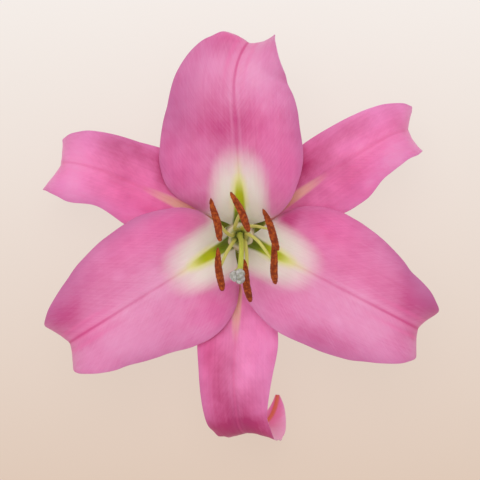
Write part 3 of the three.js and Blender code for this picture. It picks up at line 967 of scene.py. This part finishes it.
def crumble(points, centres, coarse, fine):
    """Moves each point out from its centre line by clumped noise, in millimetres. Points that lie
    elsewhere get other clumps."""
    moved = []
    for point, centre in zip(points, centres):
        way = Vector(point - centre)
        if way.length > 1e-6:
            way.normalize()
        grain = coarse * noise.noise(Vector(point * 1.1)) + fine * noise.noise(Vector(point * 3.1))
        grain += .6 * fine * noise.noise(Vector(point * 6.3))
        moved.append(point + np.array(way) * grain)
    return np.array(moved)


def turned(points, heading, tilt):
    """Turns points about Y by tilt, then about Z by heading, in degrees."""
    a, b = np.radians(heading), np.radians(tilt)
    about_y = np.array([[np.cos(b), 0, np.sin(b)], [0, 1, 0], [-np.sin(b), 0, np.cos(b)]])
    about_z = np.array([[np.cos(a), -np.sin(a), 0], [np.sin(a), np.cos(a), 0], [0, 0, 1]])
    return points @ (about_z @ about_y).T


# %% [markdown]
# ## Pollen
# Lily pollen is a rust-brown paste with bright orange grains where it is thickest. A cell pattern
# gives grains of one size, and a slower cloud decides where they stay dark.

# %% Pollen material
pollen, tree, shader = new_material("pollen", {"Specular IOR Level": .15, "Sheen Weight": .1})
place = own_place(tree)
grains = cells(tree, place, 3000)
clumps = cloud(tree, place, 700, 3, .6)
rust = blend(tree, fade(tree, clumps, .35, .7), colour(124, 46, 20), colour(176, 78, 30))
bright = fade(tree, clumps, .49, .63)
specks = times(tree, fade(tree, grains, .48, .15), bright)
rust = blend(tree, times(tree, specks, .75), rust, colour(224, 138, 48))
plug(tree, shader["Base Color"], rust)
plug(tree, shader["Roughness"], fade(tree, clumps, .3, .7, .8, .98))
grainy = plus(tree, times(tree, clumps, .7), minus(tree, 1, grains))
plug(tree, shader["Normal"], bump(tree, grainy, .18))

# %% [markdown]
# ## Green flesh, shared by filament, pistil and stalk
# The green parts are firm and slightly waxy, with fine fibres running their length. One group lays
# those fibres in two close greens, and each material says which.

# %% Group: green flesh
flesh, give, take = new_group("Green flesh", {
    "Share": 0.0, "Turn": 0.0, "Light": colour(200, 205, 110), "Dark": colour(150, 165, 60),
    "Length": 60.0,
}, {"Colour": "Color", "Height": "Float"})
tree = flesh
round_about = times(tree, give["Turn"], TURN)
side_x = times(tree, calc(tree, "COSINE", round_about), 3.0)
side_y = times(tree, calc(tree, "SINE", round_about), 3.0)
down = times(tree, times(tree, give["Share"], give["Length"]), .12)
fibres = cloud(tree, join(tree, side_x, side_y, down), 1.6, 3)
plug(tree, take["Colour"], blend(tree, fade(tree, fibres, .3, .7), give["Dark"], give["Light"]))
plug(tree, take["Height"], fibres)


def flesh_material(name, light, dark, length, shades):
    """Green flesh that also changes along its length: shades are (start, end, colour, amount)."""
    material, tree, shader = new_material(name, {
        "Subsurface Weight": .1, "Subsurface Radius": (.8, .7, .25), "Subsurface Scale": .0012,
        "Specular IOR Level": .4,
    })
    share, turn, _ = painted(tree, "growth")
    made = use_group(tree, flesh, {"Share": share, "Turn": turn, "Light": light, "Dark": dark,
                                   "Length": length})
    skin = made["Colour"]
    for start, end, tint, amount in shades:
        skin = blend(tree, fade(tree, share, start, end, 0, amount), skin, tint)
    plug(tree, shader["Base Color"], skin)
    plug(tree, shader["Roughness"], fade(tree, made["Height"], .3, .7, .42, .57))
    plug(tree, shader["Normal"], bump(tree, made["Height"], .12))
    return material, tree, shader


# The filaments darken towards their foot: painted shade, deep in the throat.
filament_skin = flesh_material("filament_skin", colour(222, 221, 128), colour(196, 194, 86), 55,
                               [(.2, 0, colour(150, 164, 52), .6)])[0]

# %% Grow the stamens
for n, stamen in enumerate(STAMENS, 1):
    root = np.radians(stamen["side"])
    foot = [FILAMENT_RING * np.cos(root), FILAMENT_RING * np.sin(root), KNOB_TOP + GAP]
    path = smooth_path([foot, *stamen["bends"], stamen["tip"]], 90)
    path = np.vstack([path[0] - (0, 0, GAP + .3), path, path[-1] + (0, 0, GAP + .4)])
    points, faces, growth = sweep(path, (1, 0, 0), filament_skin_at)
    piece = make_piece(f"grown_filament_{n}", f"filament_{n}", points, faces, filament_skin)
    store(piece, "growth", growth)

    spine = np.linspace(-.5, .5, 151)
    path = np.stack([spine * ANTHER_LENGTH, ANTHER_WAVE * np.sin(TURN * (spine + .13 * n)),
                     -ANTHER_BOW * spine ** 2], -1)
    points, faces, _ = sweep(path, (0, -1, 0), anther_skin_at)
    centres = np.vstack([np.repeat(path, anther_skin_at.sides, 0), path[:1], path[-1:]])
    elsewhere = APART * n
    points = crumble(points + elsewhere, centres + elsewhere, COARSE_GRAINS, FINE_GRAINS) - elsewhere
    balanced = np.array(stamen["tip"]) + (0, 0, ANTHER_DEPTH / 2 + GAP)
    points = turned(points, stamen["heading"], stamen["tilt"]) + balanced
    make_piece(f"grown_anther_{n}", f"anther_{n}", points, faces, pollen)
print("stamens:", len(STAMENS))

# %% [markdown]
# ## The pistil
# Ovary, style and stigma grow as one: a ribbed green seed case hidden in the throat, a long smooth
# style that bends down towards the light, and a three-lobed stigma with a wet, grained top. It is one
# sweep, whose last rings turn inwards to close the stigma with a three-armed groove.

# %% Grow the pistil
PISTIL_PATH = [(0, 0, KNOB_TOP + GAP), (0, .2, 36), (.7, -4.2, 59), (.2, -13.6, 74.5), (-1.1, -19.4, 82)]
PISTIL_RADIUS = [(0, 1.4), (.04, 1.65), (.28, 1.65), (.36, 1.4), (.5, 1.25), (.9, 1.3), (.94, 2.4),
                 (.975, 3.6), (1, 2.8)]
CROWN_RINGS = 26


@sided(96)
def pistil_skin_at(share, turn):
    """Ribs on the ovary, a plain style, three lobes on the stigma, and a grooved crown."""
    body = np.clip(share / PISTIL_BODY, 0, 1)
    crown = np.clip((share - PISTIL_BODY) / (1 - PISTIL_BODY), 0, 1)
    lobes = value_at([(0, .03), (.28, .03), (.36, 0), (.9, 0), (.95, .12), (1, .2)], body)
    grooves = value_at([(0, .05), (.28, .05), (.36, 0), (.91, 0), (.955, .14), (1, .24)], body)
    cleft = hump(np.sin(1.5 * turn), .3)
    radius = value_at(PISTIL_RADIUS, body) * (1 - lobes * np.cos(3 * turn) - grooves * cleft)
    radius = radius * (1 - crown) ** .8
    sunk = cleft * np.sin(np.minimum(crown * 1.6, 1) * np.pi / 2)
    rise = 1.5 * np.sin(crown * np.pi * .72) - sunk
    return radius * np.cos(turn), radius * np.sin(turn), rise * (crown > 0)


body_path = smooth_path(PISTIL_PATH, 240)
PISTIL_BODY = (len(body_path) - 1) / (len(body_path) - 1 + CROWN_RINGS)
tail = body_path[-1] - body_path[-2]
crown_path = body_path[-1] + tail * np.linspace(.001, .02, CROWN_RINGS)[:, None]
path = np.vstack([body_path[:1] - (0, 0, GAP + .3), body_path[1:], crown_path])
points, faces, growth = sweep(path, (1, 0, 0), pistil_skin_at)
print("pistil:", len(faces), "faces")

# %% [markdown]
# The stigma is dry velvet in grey and lilac, darker in its grooves; the style under it is a clear
# yellow-green. Mixing them by share of the length keeps the pistil one piece with one material.

# %% Pistil material
pistil_skin, tree, shader = flesh_material(
    "pistil_skin", colour(196, 204, 78), colour(164, 180, 52), 80,
    [(.32, .2, colour(120, 150, 40), .7), (.855, .875, colour(168, 160, 152), 1.0)])
share = painted(tree, "growth")[0]
velvet = cloud(tree, own_place(tree), 700, 3, .55)
skin = shader["Base Color"].links[0].from_socket
mottled = blend(tree, fade(tree, velvet, .35, .7), colour(140, 138, 126), colour(196, 194, 192))
plug(tree, shader["Base Color"], blend(tree, fade(tree, share, .845, .865), skin, mottled))
plug(tree, shader["Normal"], bump(tree, velvet, .05))
piece = make_piece("grown_pistil", "pistil", points, faces, pistil_skin)
store(piece, "growth", growth)

# %% [markdown]
# ## The stalk
# Under the flower the stalk widens into the knob that carries every tepal. It was cut with a knife,
# so its end is flat and shows pale pith with a ring of darker bundles. A lathe profile is enough, with
# six shallow swellings where the tepals grow out.

# %% Grow the stalk
STALK_PROFILE = [(.9, 2.7), (2.0, 2.55), (2.6, 2.5), (2.85, 2.62), (2.92, 2.9), (3.0, 3.6), (3.15, 4.3),
                 (3.6, 5.2), (4.8, 6.3), (6.3, 7.2), (7.8, 8.0), (8.2, 8.5), (8.2, 8.9), (7.6, 9.3),
                 (7.2, 10.2), (7.05, 11.6), (6.8, 12.6), (6.2, 12.95), (4.5, KNOB_TOP), (2, KNOB_TOP)]
STALK_SIDES = 96
CUT_MIDDLE = 2.75
turn = np.arange(STALK_SIDES) / STALK_SIDES * TURN
radius, height = np.array(STALK_PROFILE).T
bulge = 1 + .035 * np.clip((height - 5) / 3, 0, 1)[:, None] * (np.cos(6 * (turn - np.pi / 6)) - 1)
points = np.stack([radius[:, None] * bulge * np.cos(turn), radius[:, None] * bulge * np.sin(turn),
                   np.repeat(height[:, None], STALK_SIDES, 1)], -1)
points = np.vstack([points.reshape(-1, 3), [(0, 0, CUT_MIDDLE), (0, 0, KNOB_TOP)]])
faces = rod_faces(len(radius), STALK_SIDES)
growth = [(h / KNOB_TOP, t / TURN, r) for h, r in zip(height, radius) for t in turn]
growth += [(.2, 0, 0), (1, 0, 0)]

stalk_skin, tree, shader = flesh_material(
    "stalk_skin", colour(150, 168, 88), colour(112, 134, 56), 13, [(.6, .9, colour(150, 160, 64), 1.0)])
share, _, out_from_axis = painted(tree, "growth")
skin = shader["Base Color"].links[0].from_socket
bundles = fade(tree, cells(tree, own_place(tree), 1100), .35, .2)
pith = blend(tree, bundles, colour(206, 212, 170), colour(128, 140, 84))
cut = times(tree, fade(tree, share, .225, .205), fade(tree, out_from_axis, 2.88, 2.7))
skin = blend(tree, cut, skin, pith)

# The seat round the knob's top, where the claws grow out, stays cream as they do.
seat = times(tree, fade(tree, share, .7, .8), fade(tree, out_from_axis, 3.6, 6))
plug(tree, shader["Base Color"], blend(tree, seat, skin, colour(226, 212, 178)))
piece = make_piece("grown_stalk", "stalk", points, faces, stalk_skin)
store(piece, "growth", growth)
print("stalk:", len(faces), "faces")

# %% [markdown]
# ## The table
# The bloom lies on a plain pale sheet that grows a little warmer towards the viewer. Most of its
# brightness is painted light: the sheet glows by its own emission, like a light table, which keeps
# the shadows under the petals faint.

# %% Lay the sheet
SHEET = 4.0
sheet_mesh = bpy.data.meshes.new("sheet")
sheet_mesh.from_pydata([(-SHEET, -SHEET, 0), (SHEET, -SHEET, 0), (SHEET, SHEET, 0), (-SHEET, SHEET, 0)],
                       [], [(0, 1, 2, 3)])
sheet = bpy.data.objects.new("sheet", sheet_mesh)
bpy.context.collection.objects.link(sheet)

# The sheet's glow is an emission in its own tone: painted light, with no lamp under it.
glowing_sheet, tree, shader = new_material("glowing_sheet", {"Roughness": .9, "Specular IOR Level": .1,
                                             "Emission Strength": .85})
split = tree.nodes.new("ShaderNodeSeparateXYZ")
plug(tree, split.inputs[0], own_place(tree))
far = plus(tree, calc(tree, "DIVIDE", split.outputs["Y"], .25), .5)
tone = blend(tree, far, colour(223, 201, 184), colour(244, 237, 232))
plug(tree, shader["Emission Color"], tone)
plug(tree, shader["Base Color"], blend(tree, .85, tone, (0, 0, 0, 1)))
sheet_mesh.materials.append(glowing_sheet)

# %% [markdown]
# ## Light
# A bloom shown in a catalogue is lit by one wide soft source overhead and by pale walls all round.
# The walls are the world's own colour, and the source is a large square lamp, a little to
# the upper left, which gives the petals their gentle modelling.

# %% Hang the lamp
ROOM_LIGHT = .66
LAMP_WIDTH = 1.1
LAMP_POWER = 9.8
LAMP_PLACE = (-.1, .35, 1.4)

world = bpy.data.worlds.new("pale_room")
bpy.context.scene.world = world
world.use_nodes = True
world.node_tree.nodes["Background"].inputs["Color"].default_value = (1, .985, .965, 1)
world.node_tree.nodes["Background"].inputs["Strength"].default_value = ROOM_LIGHT

lamp_data = bpy.data.lights.new("soft_lamp", "AREA")
lamp_data.shape = "SQUARE"
lamp_data.size = LAMP_WIDTH
lamp_data.energy = LAMP_POWER
lamp = bpy.data.objects.new("soft_lamp", lamp_data)
lamp.location = LAMP_PLACE
lamp.rotation_euler = (-Vector(LAMP_PLACE)).to_track_quat("-Z", "Y").to_euler()
bpy.context.collection.objects.link(lamp)
bpy.context.scene.view_settings.view_transform = "Standard"
